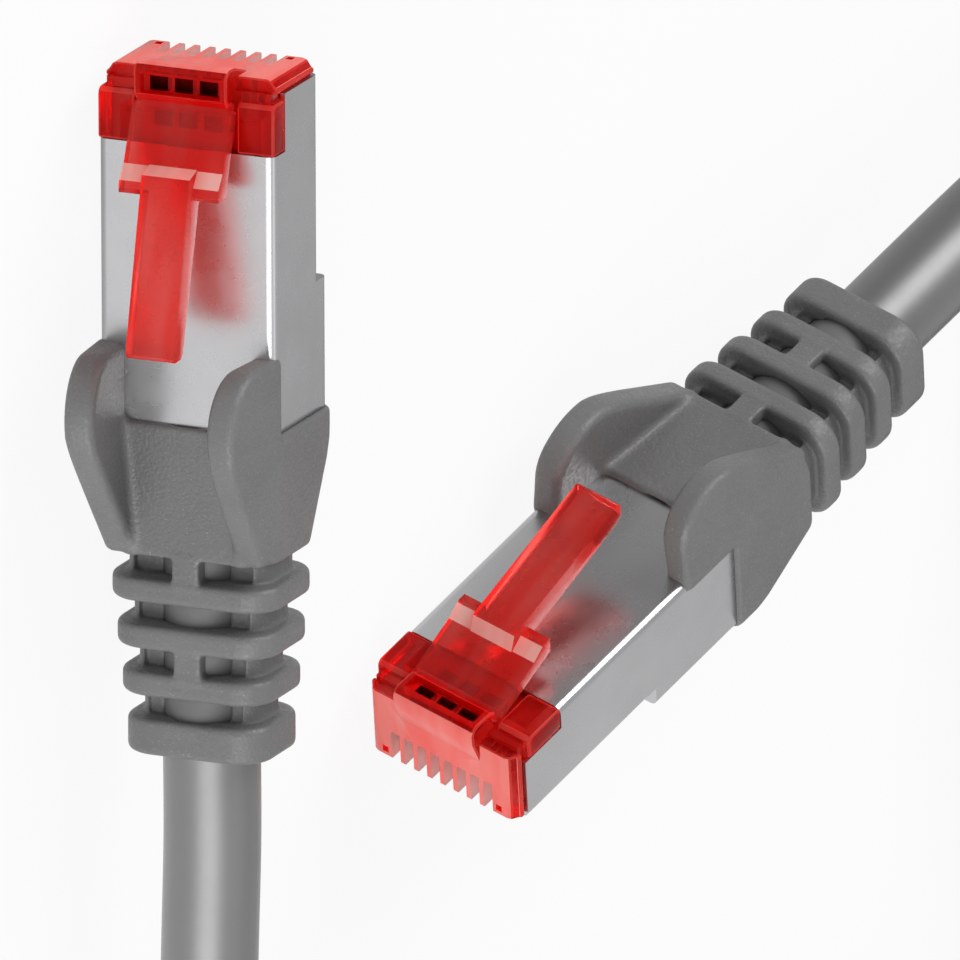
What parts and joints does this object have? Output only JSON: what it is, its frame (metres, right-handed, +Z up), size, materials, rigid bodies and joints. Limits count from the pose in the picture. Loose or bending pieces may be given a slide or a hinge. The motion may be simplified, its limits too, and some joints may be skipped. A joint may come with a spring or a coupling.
{
  "type": "ethernet patch cable",
  "caption": "Shielded ethernet patch cable: two plugs with translucent red noses and latches, nickel shields, grey eared boots with ribbed strain relief, round grey cable in a tied coil.",
  "frame": {"origin": "middle of the two plugs' box, on the table they lie on", "axes": "+Z up from the table; +X along the first plug from its nose to its cable; +Y from the first plug towards the second plug and the coil"},
  "size_m": [0.0899, 0.169, 0.0149],
  "materials": {
    "nose_red": "translucent, polished",
    "nickel": "polished nickel-plated sheet",
    "gold": "gold-plated",
    "bar_black": "matte",
    "wire_orange": "satin",
    "wire_green": "satin",
    "wire_blue": "satin",
    "wire_brown": "satin",
    "foil": "bright foil",
    "braid": "tinned braid",
    "boot_grey": "fine moulded grain",
    "cable_grey": "satin",
    "tie_black": "hook and loop strap"
  },
  "bodies": {
    "cable": {"nose_housing_a": "nose_red", "shield_shell_a": "nickel", "contact_blades_a": "gold", "load_bar_a": "bar_black", "wire_pair_orange_a": "wire_orange", "wire_pair_green_a": "wire_green", "wire_pair_blue_a": "wire_blue", "wire_pair_brown_a": "wire_brown", "pair_foils_a": "foil", "braid_collar_a": "braid", "jacket_end_a": "cable_grey", "boot_a": "boot_grey", "nose_housing_b": "nose_red", "shield_shell_b": "nickel", "contact_blades_b": "gold", "load_bar_b": "bar_black", "wire_pair_orange_b": "wire_orange", "wire_pair_green_b": "wire_green", "wire_pair_blue_b": "wire_blue", "wire_pair_brown_b": "wire_brown", "pair_foils_b": "foil", "braid_collar_b": "braid", "jacket_end_b": "cable_grey", "boot_b": "boot_grey", "lead_a": "cable_grey", "cable_coil": "cable_grey", "lead_b": "cable_grey", "coil_tie_a": "tie_black", "coil_tie_b": "tie_black"},
    "plug_a_latch": {"latch_a": "nose_red"},
    "plug_b_latch": {"latch_b": "nose_red"}
  },
  "joints": [
    {"name": "latch_a_press", "type": "hinge", "parent": "cable", "child": "plug_a_latch", "pos_m": [-0.02455, -0.03058, 0.00728], "axis": [-0.0302, 0.2588, 0.9655], "range_deg": [0, 13], "stiffness_Nm_per_rad": 0.06},
    {"name": "latch_b_press", "type": "hinge", "parent": "cable", "child": "plug_b_latch", "pos_m": [0.01953, -0.00296, 0.00728], "axis": [-0.248, -0.0799, -0.9655], "range_deg": [0, 13], "stiffness_Nm_per_rad": 0.06}
  ]
}
